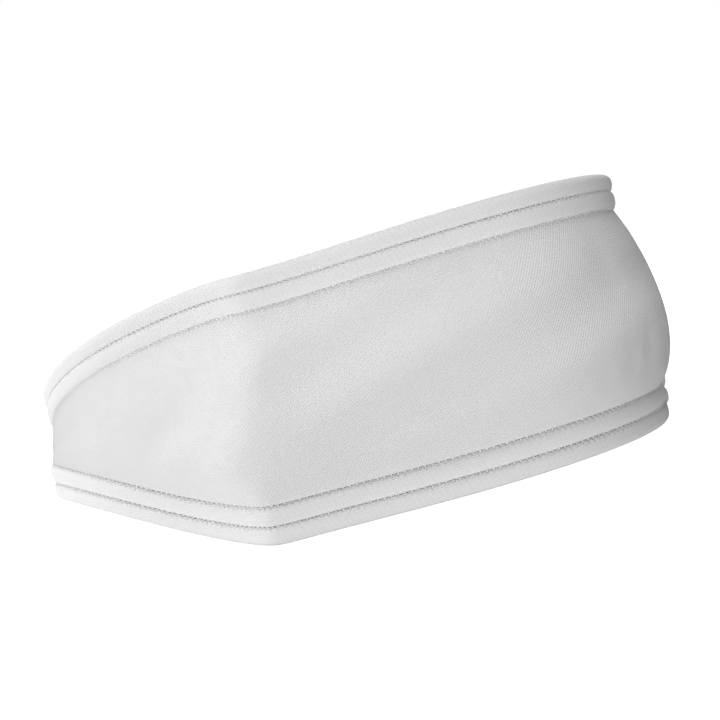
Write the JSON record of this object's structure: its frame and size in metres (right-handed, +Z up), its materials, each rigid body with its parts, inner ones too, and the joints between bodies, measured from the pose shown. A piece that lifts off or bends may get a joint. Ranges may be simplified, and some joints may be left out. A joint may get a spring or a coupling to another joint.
{
  "type": "sports headband",
  "caption": "Padded knit sports headband, tall over the forehead and narrow at the nape, with paired corded rolls along both edges.",
  "frame": {"origin": "on the surface that the band lies on, under the middle of its box", "axes": "+Z up through the head opening, -Y towards the forehead, X across the band"},
  "size_m": [0.1656, 0.1848, 0.0712],
  "materials": {
    "white_knit": "brushed white cotton and elastane knit, fine diagonal wale, matt",
    "roll_knit": "the same white knit drawn tight over a cord, matt",
    "terry": "white looped terry, matt",
    "foam": "off-white open-cell foam interlining",
    "elastic": "white braided round elastic",
    "thread": "white polyester sewing thread",
    "woven_tape": "white woven seam tape",
    "label_cloth": "blank white satin label"
  },
  "bodies": {
    "root": {"outer_band": "white_knit", "foam_padding": "foam", "sweat_lining": "terry", "top_edge_roll_outer": "roll_knit", "top_edge_roll_inner": "roll_knit", "bottom_edge_roll_inner": "roll_knit", "bottom_edge_roll_outer": "roll_knit", "elastic_cord_top_outer": "elastic", "elastic_cord_top_inner": "elastic", "elastic_cord_bottom_inner": "elastic", "elastic_cord_bottom_outer": "elastic", "stitch_row_top_edge": "thread", "stitch_row_top_panel": "thread", "stitch_row_bottom_panel": "thread", "stitch_row_bottom_edge": "thread", "back_seam_tape": "woven_tape", "care_label": "label_cloth"}
  },
  "joints": []
}
